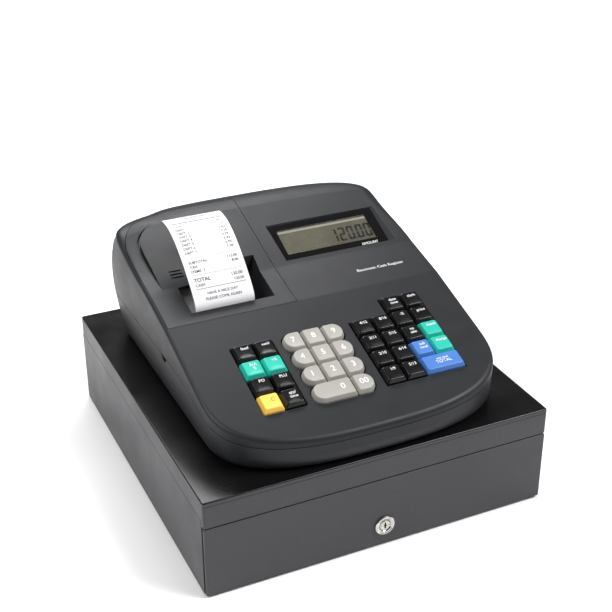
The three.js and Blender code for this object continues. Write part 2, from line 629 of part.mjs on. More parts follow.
function printerFrame() {
  const [left, right] = [PAPER.left - 1.2, paperRight + 1.2];
  const outline = [[158, 100.2], [300, 100.2], [300, 150], [236, 150], [200, 163], [158, 163]];
  const cheeks = [alongX(outline, left - 2, left), alongX(outline, right, right + 2)];
  const base = block(left - 2, right + 2, 158, 300, 100.2, 102.2);
  const stubs = [rodX(ROLL.core - 0.7, left - 0.5, left + 8, ROLL.y, ROLL.z, 16),
    rodX(ROLL.core - 0.7, right - 8, right + 0.5, ROLL.y, ROLL.z, 16)];
  const holes = [rodX(PLATEN.shaft + GAP, left - 5, right + 5, PLATEN.y, PLATEN.z),
    rodX(INKER.shaft + GAP, left - 5, right + 5, INKER.y, INKER.z)];
  return geometryOf(without(joined(solidOf(base), ...cheeks, ...stubs), ...holes));
}

function roller({ y, z, radius, shaft }) {
  const body = solidOf(rodX(radius, PAPER.left + 1, paperRight - 1, y, z, 24));
  return geometryOf(joined(body, rodX(shaft, PAPER.left - 2.9, paperRight + 2.9, y, z, 16)));
}

function paperRoll() {
  const body = solidOf(rodX(ROLL.radius, PAPER.left, paperRight, ROLL.y, ROLL.z, 36));
  return geometryOf(without(body, rodX(ROLL.core, PAPER.left - 5, paperRight + 5, ROLL.y, ROLL.z, 20)));
}

// The receipt stands up out of the slot and curls backwards.
const RECEIPT_PATH = [[169.4, 168], [167.9, 174], [168.4, 181], [174.5, 189.5], [183.5, 198.6], [197, 210.6],
  [212, 221.2], [222, 226.4], [232.2, 230], [242, 231.4], [250.8, 231]];

function receiptPaper() {
  const spine = new THREE.CatmullRomCurve3(RECEIPT_PATH.map(([y, z]) => new THREE.Vector3(0, y, z)));
  const points = spine.getPoints(22);
  const side = (lift) => points.map((p, i) => {
    const ahead = points[Math.min(i + 1, points.length - 1)];
    const behind = points[Math.max(i - 1, 0)];
    const along = ahead.clone().sub(behind).normalize();
    return [p.y - along.z * lift, p.z + along.y * lift];
  });
  return alongX([...side(-PAPER.thick / 2), ...side(PAPER.thick / 2).reverse()], PAPER.left, paperRight);
}

function powerInlet() {
  const { x, z, inner, face, halfWidth, halfHeight } = INLET;
  const body = solidOf(block(x - halfWidth, x + halfWidth, inner, face, z - halfHeight, z + halfHeight));
  return geometryOf(without(body, rodY(4, x, inner + 4, face + 5, z, 20)));
}

// ---- Assembly ----
addPart('cabinet_base', cabinetBase(), 'steel');
addPart('cabinet_lid', cabinetLid(), 'lid');
addPart('drawer_front', drawerFront(), 'steel');
addPart('drawer_box', drawerBox(), 'zinc');
addPart('till_tray', tillTray(), 'till');
billBoxes.forEach((c, i) => addPart(`bill_clip_${i + 1}`, billClip(c), 'till'));
addPart('lock_barrel', lockBarrel(), 'chrome');
addPart('lock_plug', lockPlug(), 'chrome');
addPart('lower_case', lowerCase(), 'lowerCasing');
addPart('upper_case', upperCase(), 'casing');
addPart('printer_cover', printerCover(), 'casing');
addPart('display_window', displayWindow(), 'window');
addPart('lcd_panel', lcdPanel(), 'lcd');
addKeys();
addKeyBoards();
addPart('printer_frame', printerFrame(), 'zinc');
addPart('platen_roller', roller(PLATEN), 'rubber');
addPart('ink_roller', roller(INKER), 'ink');
addPart('paper_roll', paperRoll(), 'paper');
addPart('receipt_paper', receiptPaper(), 'paper');
addPart('power_inlet', powerInlet(), 'rubber');

export default register;
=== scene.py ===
"""Cash register: a steel drawer cabinet with a moulded register head, its keys, display and printer.

Lengths are written in millimetres, with y counted back from the face of the drawer. to_frame()
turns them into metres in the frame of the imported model.
"""
import math

import bmesh
import bpy
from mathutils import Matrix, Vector


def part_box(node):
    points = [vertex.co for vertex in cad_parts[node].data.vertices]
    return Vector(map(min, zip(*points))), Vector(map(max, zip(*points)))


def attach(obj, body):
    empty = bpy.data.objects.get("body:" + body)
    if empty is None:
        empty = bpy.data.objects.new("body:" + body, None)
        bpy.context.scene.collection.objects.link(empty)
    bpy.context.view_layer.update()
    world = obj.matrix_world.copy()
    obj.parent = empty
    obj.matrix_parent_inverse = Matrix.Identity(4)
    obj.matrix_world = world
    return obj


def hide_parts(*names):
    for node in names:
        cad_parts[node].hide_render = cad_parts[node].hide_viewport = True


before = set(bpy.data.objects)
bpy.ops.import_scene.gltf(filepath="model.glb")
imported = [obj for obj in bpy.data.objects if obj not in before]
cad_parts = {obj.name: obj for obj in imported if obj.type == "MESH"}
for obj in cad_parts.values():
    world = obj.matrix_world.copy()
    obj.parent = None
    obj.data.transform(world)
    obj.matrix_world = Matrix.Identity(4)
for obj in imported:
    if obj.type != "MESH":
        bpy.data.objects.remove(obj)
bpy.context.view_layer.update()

MM = 0.001
FACE_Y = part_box("drawer_front")[0].y
scene = bpy.context.scene


def to_frame(x, y, z):
    return (x * MM, FACE_Y + y * MM, z * MM)


# ---- Materials ----
def srgb(r, g, b):
    def channel(v):
        v /= 255
        return v / 12.92 if v <= 0.04045 else ((v + 0.055) / 1.055) ** 2.4
    return (channel(r), channel(g), channel(b), 1.0)


class Shader:
    """A Principled material with object coordinates ready for its patterns."""

    def __init__(self, name, **sockets):
        self.material = bpy.data.materials.new(name)
        self.material.use_nodes = True
        self.tree = self.material.node_tree
        self.main = self.tree.nodes["Principled BSDF"]
        for socket, value in sockets.items():
            self.main.inputs[socket.replace("_", " ")].default_value = value
        self.coords = self.tree.nodes.new("ShaderNodeTexCoord").outputs["Object"]

    def link(self, source, target):
        self.tree.links.new(source, target)
        return target

    def noise(self, scale, detail=3.0, stretch=None):
        node = self.tree.nodes.new("ShaderNodeTexNoise")
        node.inputs["Scale"].default_value = scale
        node.inputs["Detail"].default_value = detail
        source = self.coords
        if stretch:
            mapping = self.tree.nodes.new("ShaderNodeMapping")
            mapping.inputs["Scale"].default_value = stretch
            self.link(source, mapping.inputs["Vector"])
            source = mapping.outputs["Vector"]
        self.link(source, node.inputs["Vector"])
        return node.outputs["Fac"]

    def ranged(self, source, low, high, spread=(0.3, 0.7)):
        node = self.tree.nodes.new("ShaderNodeMapRange")
        node.inputs["From Min"].default_value = spread[0]
        node.inputs["From Max"].default_value = spread[1]
        node.inputs["To Min"].default_value = low
        node.inputs["To Max"].default_value = high
        self.link(source, node.inputs["Value"])
        return node.outputs["Result"]

    def colours(self, source, first, second, spread=(0.3, 0.7)):
        ramp = self.tree.nodes.new("ShaderNodeValToRGB")
        ramp.color_ramp.elements[0].position = spread[0]
        ramp.color_ramp.elements[1].position = spread[1]
        ramp.color_ramp.elements[0].color = first
        ramp.color_ramp.elements[1].color = second
        self.link(source, ramp.inputs["Fac"])
        self.link(ramp.outputs["Color"], self.main.inputs["Base Color"])

    def roughness(self, source, low, high):
        self.link(self.ranged(source, low, high), self.main.inputs["Roughness"])

    def bump(self, source, strength, distance, below=None):
        node = self.tree.nodes.new("ShaderNodeBump")
        node.inputs["Strength"].default_value = strength
        node.inputs["Distance"].default_value = distance
        self.link(source, node.inputs["Height"])
        if below is not None:
            self.link(below, node.inputs["Normal"])
        self.link(node.outputs["Normal"], self.main.inputs["Normal"])
        return node.outputs["Normal"]


def shaded(colour, amount):
    return tuple(c * amount for c in colour[:3]) + (1.0,)


def moulded(name, colour, rough, grain=2600, bump=0.25, contrast=0.1, **sockets):
    """Moulded plastic: a fine spark-eroded grain, faint cloudiness, uneven gloss."""
    s = Shader(name, **sockets)
    broad = s.noise(16, 4)
    s.colours(broad, shaded(colour, 1 - contrast), shaded(colour, 1 + contrast))
    s.roughness(s.noise(60, 5), rough - 0.03, rough + 0.04)
    wear = s.bump(s.noise(35, 3), 0.03, 0.0006)
    s.bump(s.noise(grain, 2), bump, 0.00006, wear)
    return s.material


def painted(name, colour, rough, orange_peel=0.12, contrast=0.08, **sockets):
    """Baked paint on sheet steel: orange peel, tiny specks, smudged gloss."""
    s = Shader(name, **sockets)
    s.colours(s.noise(900, 2), shaded(colour, 1 - contrast), shaded(colour, 1 + contrast))
    s.roughness(s.noise(22, 6), rough - 0.05, rough + 0.07)
    peel = s.bump(s.noise(420, 2), orange_peel, 0.0002)
    s.bump(s.noise(9, 2), 0.05, 0.002, peel)
    return s.material


def bare_metal(name, colour, rough, stretch, **sockets):
    """Plated or brushed metal with a direction to its grain."""
    s = Shader(name, Metallic=1.0, **sockets)
    grain = s.noise(220, 4, stretch)
    s.colours(grain, shaded(colour, 0.82), shaded(colour, 1.08))
    s.roughness(s.noise(140, 4, stretch), rough - 0.07, rough + 0.1)
    s.bump(grain, 0.15, 0.0001)
    return s.material


def printed(name, colour, rough=0.5):
    """Screen-printed ink, slightly uneven."""
    s = Shader(name)
    s.colours(s.noise(1500, 2), shaded(colour, 0.86), shaded(colour, 1.0))
    s.roughness(s.noise(300, 2), rough, rough + 0.1)
    s.bump(s.noise(1800, 2), 0.1, 0.00005)
    return s.material


CASE_GREY = srgb(31, 32, 35)
MAT = {
    "case": moulded("case_plastic", CASE_GREY, 0.45, bump=0.4, contrast=0.05, Specular_IOR_Level=0.28),
    "lower": moulded("lower_case_plastic", srgb(31, 32, 35), 0.46, bump=0.4, contrast=0.05,
                     Specular_IOR_Level=0.35),
    "lid": painted("lid_paint", srgb(13, 13, 14), 0.22, contrast=0.05, Specular_IOR_Level=0.3),
    "cabinet": painted("cabinet_paint", srgb(62, 62, 65), 0.42, contrast=0.1, Specular_IOR_Level=0.35),
    "zinc": bare_metal("zinc_steel", srgb(168, 170, 172), 0.38, (1, 1, 1)),
    "chrome": bare_metal("lock_nickel", srgb(212, 210, 204), 0.2, (1, 1, 1)),
    "till": moulded("till_plastic", srgb(34, 34, 36), 0.5),
    "pane": moulded("pane_gloss", srgb(6, 6, 7), 0.12, grain=800, bump=0.02, Coat_Weight=0.6),
    "key_black": moulded("key_black", srgb(14, 14, 16), 0.24, bump=0.1, Specular_IOR_Level=0.4),
    "key_grey": moulded("key_grey", srgb(160, 157, 151), 0.42, bump=0.15, contrast=0.05),
    "key_teal": moulded("key_teal", srgb(28, 178, 158), 0.38, bump=0.12, contrast=0.05),
    "key_blue": moulded("key_blue", srgb(66, 118, 190), 0.38, bump=0.12, contrast=0.05),
    "key_yellow": moulded("key_yellow", srgb(246, 198, 84), 0.4, bump=0.12, contrast=0.04),
    "rubber": moulded("black_rubber", srgb(24, 24, 25), 0.75, grain=1400, bump=0.5),
    "mat": moulded("key_mat_rubber", srgb(30, 30, 32), 0.7, grain=1400, bump=0.4),
    "board": moulded("board_green", srgb(24, 84, 46), 0.45, grain=900, bump=0.3),
    "socket": moulded("socket_plastic", srgb(20, 20, 21), 0.5),
    "felt": moulded("ink_felt", srgb(42, 26, 66), 0.9, grain=3000, bump=0.8),
    "white_ink": printed("legend_white", srgb(244, 244, 240)),
    "faint_ink": printed("legend_faint", srgb(168, 138, 70)),
    "grey_ink": printed("receipt_ink", srgb(44, 44, 50), 0.8),
    "segment": printed("lcd_segment", srgb(8, 8, 6), 0.3),
}


def paper_material(name, colour):
    s = Shader(name)
    s.colours(s.noise(700, 5), shaded(colour, 0.96), shaded(colour, 1.0))
    s.roughness(s.noise(90, 3), 0.78, 0.92)
    s.bump(s.noise(2200, 4, (1, 3, 1)), 0.2, 0.00006)
    return s.material


def lcd_material():
    s = Shader("lcd_glass", Coat_Weight=0.5)
    s.colours(s.noise(25, 3), srgb(76, 74, 62), srgb(88, 86, 72))
    s.roughness(s.noise(80, 3), 0.2, 0.3)
    s.bump(s.noise(1200, 2), 0.04, 0.00004)
    return s.material


MAT["paper"] = paper_material("receipt_stock", srgb(236, 236, 238))
MAT["roll"] = paper_material("roll_stock", srgb(240, 239, 234))
MAT["lcd"] = lcd_material()
# Pale material for a strip along the LCD's top edge: a painted reflection of the bezel in the LCD glass
MAT["lcd_painted_reflection"] = moulded("lcd_painted_reflection", srgb(132, 130, 116), 0.3, grain=900, bump=0.05)


# ---- Mesh tools ----
def raw_object(name, points, faces):
    mesh = bpy.data.meshes.new(name)
    mesh.from_pydata([to_frame(*p) for p in points], [], faces)
    mesh.update()
    obj = bpy.data.objects.new(name, mesh)
    scene.collection.objects.link(obj)
    bm = bmesh.new()
    bm.from_mesh(mesh)
    bmesh.ops.recalc_face_normals(bm, faces=bm.faces)
    bm.to_mesh(mesh)
    bm.free()
    return obj


def applied(obj):
    """Fixes the modifiers into the mesh."""
    depsgraph = bpy.context.evaluated_depsgraph_get()
    mesh = bpy.data.meshes.new_from_object(obj.evaluated_get(depsgraph))
    obj.modifiers.clear()
    obj.data = mesh
    return obj


def boolean(obj, cutter, operation, solver="MANIFOLD"):
    modifier = obj.modifiers.new("join", "BOOLEAN")
    modifier.operation = operation
    modifier.solver = solver
    modifier.object = cutter
    applied(obj)
    bpy.data.objects.remove(cutter)
    return obj


def cut(obj, *cutters):
    for cutter in cutters:
        boolean(obj, cutter, "DIFFERENCE")
    return obj


def join(obj, *others):
    for other in others:
        boolean(obj, other, "UNION")
    return obj


def within(obj, other):
    return boolean(obj, other, "INTERSECT")


def copy_of(obj, name):
    twin = obj.copy()
    twin.data = obj.data.copy()
    twin.name = name
    scene.collection.objects.link(twin)
    return twin


def bevelled(obj, width, segments=2, angle=40):
    modifier = obj.modifiers.new("edge", "BEVEL")
    modifier.width = width * MM
    modifier.segments = segments
    modifier.limit_method = "ANGLE"
    modifier.angle_limit = math.radians(angle)
    modifier.use_clamp_overlap = True
    return applied(obj)


def stacked(name, levels):
    """A closed solid through rings of the same number of points."""
    count = len(levels[0])
    points = [p for ring in levels for p in ring]
    faces = [tuple(range(count))[::-1], tuple(range(len(points) - count, len(points)))]
    for k in range(len(levels) - 1):
        for i in range(count):
            j = (i + 1) % count
            faces.append((k * count + i, k * count + j, (k + 1) * count + j, (k + 1) * count + i))
    return raw_object(name, points, faces)


def block(x0, x1, y0, y1, z0, z1, name="block"):
    ring = [(x0, y0), (x1, y0), (x1, y1), (x0, y1)]
    return stacked(name, [[(x, y, z) for x, y in ring] for z in (z0, z1)])


def prism_z(outline, z0, z1, name="prism"):
    return stacked(name, [[(x, y, z) for x, y in outline] for z in (z0, z1)])


def prism_x(outline, x0, x1, name="prism"):
    return stacked(name, [[(x, y, z) for y, z in outline] for x in (x0, x1)])


def turned_y(profile, x, z, steps=48, name="turned"):
    """A closed profile of (radius, y) turned about an axis along y."""
    points, faces = [], []
    for i in range(steps):
        turn = 2 * math.pi * i / steps
        points += [(x + r * math.cos(turn), y, z + r * math.sin(turn)) for r, y in profile]
    count = len(profile)
    for i in range(steps):
        after = (i + 1) % steps
        for k in range(count):
            m = (k + 1) % count
            faces.append((i * count + k, i * count + m, after * count + m, after * count + k))
    obj = raw_object(name, points, faces)
    bm = bmesh.new()
    bm.from_mesh(obj.data)
    bmesh.ops.remove_doubles(bm, verts=bm.verts, dist=1e-7)
    bm.to_mesh(obj.data)
    bm.free()
    return obj


def rod_x(radius, x0, x1, y, z, sides=32, name="rod"):
    ring = [(y + radius * math.cos(2 * math.pi * i / sides), z + radius * math.sin(2 * math.pi * i / sides))
            for i in range(sides)]
    return prism_x(ring, x0, x1, name)


def rod_y(radius, x, z, y0, y1, sides=32, name="rod"):
    ring = [(x + radius * math.cos(2 * math.pi * i / sides), z + radius * math.sin(2 * math.pi * i / sides))
            for i in range(sides)]
    return stacked(name, [[(a, y, b) for a, b in ring] for y in (y0, y1)])


def rounded_rect(x0, x1, y0, y1, radius, steps=6):
    """Outline of a rectangle with round corners; radius is one number or one for each end."""
    left, right = radius if isinstance(radius, tuple) else (radius, radius)
    corners = [(x1 - right, y1 - right, right, 0), (x0 + left, y1 - left, left, 90),
               (x0 + left, y0 + left, left, 180), (x1 - right, y0 + right, right, 270)]
    outline = []
    for cx, cy, r, start in corners:
        for i in range(steps + 1):
            turn = math.radians(start + 90 * i / steps)
            outline.append((cx + r * math.cos(turn), cy + r * math.sin(turn)))
    return outline


def smooth(obj, angle=35, weighted=True):
    obj.data.shade_smooth()
    obj.data.set_sharp_from_angle(angle=math.radians(angle))
    if weighted:
        modifier = obj.modifiers.new("normals", "WEIGHTED_NORMAL")
        modifier.keep_sharp = True
        modifier.weight = 50
    return obj


def paint(obj, *materials):
    obj.data.materials.clear()
    for material in materials:
        obj.data.materials.append(MAT[material])
    return obj


def piece(obj, name, body, nodes=()):
    obj.name = name
    obj.data.name = name
    if nodes:
        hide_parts(*nodes)
    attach(obj, body)
    return obj


def lettering(text, size, place, align="CENTER", bold=0.0):
    """Text as a thin mesh; place turns (right, up) in millimetres into a point."""
    curve = bpy.data.curves.new("text", "FONT")
    curve.body = text
    curve.size = size
    curve.align_x = align
    curve.align_y = "CENTER"
    curve.offset = bold
    curve.resolution_u = 3
    source = bpy.data.objects.new("text", curve)
    scene.collection.objects.link(source)
    depsgraph = bpy.context.evaluated_depsgraph_get()
    mesh = bpy.data.meshes.new_from_object(source.evaluated_get(depsgraph))
    bpy.data.objects.remove(source)
    bm = bmesh.new()
    bm.from_mesh(mesh)
    bmesh.ops.remove_doubles(bm, verts=bm.verts, dist=1e-5)
    for vert in bm.verts:
        vert.co = Vector(to_frame(*place(vert.co.x, vert.co.y)))
    bm.to_mesh(mesh)
    bm.free()
    mesh.materials.clear()
    obj = bpy.data.objects.new("text", mesh)
    scene.collection.objects.link(obj)
    return obj


def merged(name, objects):
    """One object out of several, keeping each one's materials."""
    bm = bmesh.new()
    materials = []
    for obj in objects:
        for slot in obj.data.materials:
            if slot not in materials:
                materials.append(slot)
        first = len(bm.faces)
        bm.from_mesh(obj.data)
        bm.faces.ensure_lookup_table()
        for face in bm.faces[first:]:
            face.material_index = materials.index(obj.data.materials[face.material_index])
    mesh = bpy.data.meshes.new(name)
    bm.to_mesh(mesh)
    bm.free()
    for material in materials:
        mesh.materials.append(material)
    for obj in objects:
        bpy.data.objects.remove(obj)
    whole = bpy.data.objects.new(name, mesh)
    scene.collection.objects.link(whole)
    return whole


# ---- Register head: driving sizes, as in the CAD ----
HEAD_FLOOR = 97.35
PANEL_HEIGHT = 123.7
TILT = math.radians(17.5)
BRAND_START = 154.1
DISPLAY_START = 204.4
BRAND_SLOPE = 0.2322
DISPLAY_SLOPE = 0.3172
EDGE_FRONT, EDGE_REAR = 3.6, 26.0
CREST_Y = 291.5
HEAD_REAR = 334.0
BULGE = 16.0
HALF = 138.2
LEFT_SIDE = (-1, 7.0, 3.6)
RIGHT_SIDE = (1, 14.0, 10.4)
CORNER_POWER = 2.8
FRONT_CORNER_END = 78.0
REAR_CORNER_START = 282.0
WALL = 2.5


def quarter_arc(x, y, across, along, power=2.0, steps=8):
    """A flattened quarter round about (x, y), from its left end to its rear end."""
    turns = [math.pi / 2 * i / steps for i in range(steps + 1)]
    return [(x - across * max(0.0, math.cos(t)) ** (2 / power), y + along * math.sin(t) ** (2 / power))
            for t in turns]


COVER_LEFT, COVER_RIGHT, COVER_FRONT, COVER_BACK = -134.8, -10.9, 154.4, 310.0
COVER_PLAN = ([(COVER_LEFT, COVER_FRONT)] + quarter_arc(COVER_LEFT + 42, COVER_BACK - 46, 42, 46, 1.9)
              + [(COVER_RIGHT, COVER_BACK), (COVER_RIGHT, COVER_FRONT)])
HUMP_EDGE = [(-122, 196)] + quarter_arc(-78, 262, 44, 35)
HUMP_PLAN = HUMP_EDGE + [(-66, 297.5), (-66, 330), (-14, 330), (-14, 196)]
CHUTE_TOP = [(-107.8, 167.3), (-27, 167.3), (-23.6, 226), (-46, 226), (-50, 206), (-107.8, 204)]
CHUTE_LOW = [(-106.5, 165.5), (-41, 166.5), (-36, 220), (-46, 220), (-50, 206), (-106.5, 204)]


def smoothstep(value, low, high):
    t = min(1.0, max(0.0, (value - low) / (high - low)))
    return t * t * (3 - 2 * t)


def main_height(y):
    """Top skin without the lower strip: keyboard panel, brand facet, display facet."""
    brand_base = PANEL_HEIGHT + BRAND_START * math.tan(TILT)
    display_base = brand_base + BRAND_SLOPE * (DISPLAY_START - BRAND_START)
    if y > DISPLAY_START:
        return display_base + DISPLAY_SLOPE * (y - DISPLAY_START)
    if y > BRAND_START:
        return brand_base + BRAND_SLOPE * (y - BRAND_START)
    return PANEL_HEIGHT + y * math.tan(TILT)


def strip_drop(x, y):
    """How far the strip outside the printer hump lies below the main skin."""
    if x > -70 or y < DISPLAY_START:
        return 0.0
    along = (y - DISPLAY_START) / (CREST_Y - DISPLAY_START)
    return 4.9 * math.sin(min(along, 1.1) * 0.78 * math.pi) * (1 - smoothstep(x, -98, -76))


def half_outline(half, front, rear, edge, start, swell, side):
    """Half of one level from the middle of the front to the back: x, y and the depth of the edge rounding."""
    sign, corner, narrow = side
    narrow *= edge
    rows = []
    steps = 30
    for i in range(steps + 1):
        turn = math.pi / 2 * i / steps
        x = half * math.sin(turn) ** (2 / CORNER_POWER)
        depth = (FRONT_CORNER_END - front) * max(0.0, math.cos(turn)) ** (2 / CORNER_POWER)
        y = FRONT_CORNER_END - (0 if i == steps else depth)
        rows.append((0.0 if i == 0 else sign * x, y, EDGE_FRONT))
    side_rows = [88, 100, 114, 127, 140, 149, 152.6, BRAND_START, 155.6, 160, 170, 180, 190, 199,
                 202.9, DISPLAY_START, 205.9, 211, 218, 226, 234, 242, 250, 258, 266, 274, 282]
    for y in side_rows:
        ramp = smoothstep(y, DISPLAY_START, REAR_CORNER_START)
        x = half - narrow * ramp + swell * smoothstep(y, 110, REAR_CORNER_START)
        rows.append((sign * x, y, EDGE_FRONT + (corner - EDGE_FRONT) * ramp))
    steps = 20
    for i in range(1, steps + 1):
        turn = math.radians(87.6) * i / steps
        f = math.sin(turn) ** (2 / CORNER_POWER)
        x = (half - narrow + swell) * (1 - f ** CORNER_POWER) ** (1 / CORNER_POWER)
        rows.append((sign * x, start + f * (rear - start), corner + (EDGE_REAR - corner) * f ** 1.5))
    return rows


def head_levels(floor):
    """Each level: half width, front, rear, edge share, corner start, swell, and its height rule."""
    levels = []
    base = floor + 12
    for i in range(7):
        turn = math.pi / 2 * i / 6
        out = 1 - math.sin(turn)
        z = floor + 12 * (1 - math.cos(turn))
        levels.append((HALF - 2.3 - 7.5 * out, 2 + 7.5 * out, 330 - 12 * out, 0.0, 284 - 2 * out, 0.0,
                       lambda top, r, z=z: z))
    for i in range(1, 12):
        share = i / 12
        swell = math.sin(math.pi * share) ** 0.8
        levels.append((HALF - 2.3 * (1 - share), 2 + 1.6 * share, 330 + 4 * share + BULGE * swell, 0.0,
                       284 - 2 * share + BULGE * swell, 2.6 * swell,
                       lambda top, r, f=share: base + f * (top - r - base)))
    for i in range(9):
        turn = math.pi / 2 * i / 8
        across, down = 1 - math.cos(turn), (1 - math.sin(turn)) ** 0.92
        levels.append((HALF - 3.6 * across, 3.6 + 3.6 * across, HEAD_REAR - (HEAD_REAR - CREST_Y) * across,
                       across, REAR_CORNER_START, 0.0,
                       lambda top, r, d=down: top - r * d))
    return levels


def lofted_head(name, inset, floor, drop):
    """The whole closed body of the head, all its skins drawn in by inset."""
    columns = [math.sin(math.pi / 2 * c / 26) for c in range(-26, 27)]
    points, rings = [], []

    def spot(x, y, r, rule):
        return (x, y, rule(main_height(y) - drop(x, y) - inset, r))

    def grid_of(level):
        half, front, rear, edge, start, swell, rule = level
        sizes = (half - inset, front + inset, rear - inset, edge, start, swell)
        left, right = half_outline(*sizes, LEFT_SIDE), half_outline(*sizes, RIGHT_SIDE)
        grid = []
        for left_end, right_end in zip(left, right):
            ends = [left_end if c < 0 else right_end for c in columns]
            grid.append([spot(abs(c) * x, y, r, rule) for c, (x, y, r) in zip(columns, ends)])
        return grid

    levels = head_levels(floor)
    grids = [grid_of(level) for level in levels]
    for grid in grids:
        ring = [row[-1] for row in grid] + grid[-1][-2::-1] + [row[0] for row in grid[-2:0:-1]]
        rings.append((len(points), len(ring), len(grid)))
        points += ring
    count = rings[0][1]
    faces = []
    for k in range(len(rings) - 1):
        low, high = rings[k][0], rings[k + 1][0]
        for i in range(count):
            j = (i + 1) % count
            faces.append((low + i, low + j, high + j, high + i))

    def cap(first, rows_count, grid, flip):
        wide = len(columns)
        inner = {}
        for i in range(1, rows_count - 1):
            for j in range(1, wide - 1):
                inner[(i, j)] = len(points)
                points.append(grid[i][j])

        def vertex(i, j):
            if i == 0:
                return first
            if j == wide - 1:
                return first + i
            if j == 0:
                return first + count - i
            if i == rows_count - 1:
                return first + i + (wide - 1 - j)
            return inner[(i, j)]

        for i in range(rows_count - 1):
            for j in range(wide - 1):
                quad = [vertex(i, j), vertex(i, j + 1), vertex(i + 1, j + 1), vertex(i + 1, j)]
                unique = list(dict.fromkeys(quad))
                faces.append(tuple(unique[::-1] if flip else unique))

    cap(rings[0][0], rings[0][2], grids[0], True)
    cap(rings[-1][0], rings[-1][2], grids[-1], False)
    return raw_object(name, points, faces)


SEAM = [(-20, 115.5), (4, 118.8), (60, 129), (112, 138), (150, 140.2), (400, 140.2)]


def over_seam(lift):
    return prism_x([(y, z + lift) for y, z in SEAM] + [(400, 300), (-20, 300)], -200, 200)


def head_shell():
    outer = lofted_head("outer", 0, HEAD_FLOOR, strip_drop)
    hump = lofted_head("hump", 0, HEAD_FLOOR, lambda x, y: 0.0)
    within(hump, prism_z(HUMP_PLAN, 165, 260))
    join(outer, hump)
    inner = lofted_head("inner", WALL, HEAD_FLOOR + WALL, strip_drop)
    return cut(outer, inner)


def grown_plan(outline, grow):
    """The outline moved outwards by grow, corner by corner."""
    count = len(outline)
    area = sum(outline[i][0] * outline[(i + 1) % count][1] - outline[(i + 1) % count][0] * outline[i][1]
               for i in range(count))
    side = 1 if area > 0 else -1
    moved = []
    for i, (x, y) in enumerate(outline):
        before, after = outline[i - 1], outline[(i + 1) % count]
        a = Vector((x - before[0], y - before[1])).normalized()
        b = Vector((after[0] - x, after[1] - y)).normalized()
        na, nb = Vector((a.y, -a.x)) * side, Vector((b.y, -b.x)) * side
        both = (na + nb) / max(0.35, 1 + na.dot(nb))
        moved.append((x + both.x * grow, y + both.y * grow))
    return moved


WINDOW_LEFT, WINDOW_RIGHT, WINDOW_FRONT, WINDOW_BACK = 5.2, 118.5, 211.8, 259.5


def window_floor(y):
    """Floor of the display recess, deep in front and nearly level with the skin behind."""
    back, front = main_height(WINDOW_BACK) - 0.6, main_height(WINDOW_FRONT) - 6.5
    return front + (back - front) * (y - WINDOW_FRONT) / (WINDOW_BACK - WINDOW_FRONT)


def window_cutter():
    def ring(left, right, front, back, height):
        return [(left, front, height(front)), (right, front, height(front)),
                (right, back, height(back)), (left, back, height(back))]
    skin = main_height
    opening = (WINDOW_LEFT, WINDOW_RIGHT, WINDOW_FRONT, WINDOW_BACK)
    return stacked("window", [
        ring(*opening, lambda y: window_floor(y) - 12),
        ring(*opening, lambda y: window_floor(y) - 0.2),
        ring(4.0, 122.0, 210.0, 259.9, lambda y: skin(y) - 0.15),
        ring(3.4, 122.8, 209.3, 260.4, lambda y: skin(y) + 0.4),
        ring(3.4, 122.8, 209.3, 260.4, lambda y: skin(y) + 20),
    ])


# ---- Keys: places and sizes along the panel ----
PITCH = 19.77
PAD_PITCH = 21.06
KEY_BASE = 18.9
PAD_DEPTH = 20.2
SHIFT = 1.29
LEFT_X, LEFT_V = -82.75, 111.1
PAD_X, PAD_V = -36.0, 111.7
RIGHT_X, RIGHT_V = 32.6, 129.4


def on_panel(x, v, w):
    return (x, v * math.cos(TILT) - w * math.sin(TILT),
            PANEL_HEIGHT + v * math.sin(TILT) + w * math.cos(TILT))


def well(outline, flare=0.55):
    levels = [(-9.0, 0.0), (-0.7, 0.0), (0.0, flare * 0.6), (0.6, flare * 1.6), (8.0, flare * 1.6)]
    return stacked("well", [[on_panel(x, v, w) for x, v in grown_plan(outline, g)] for w, g in levels])


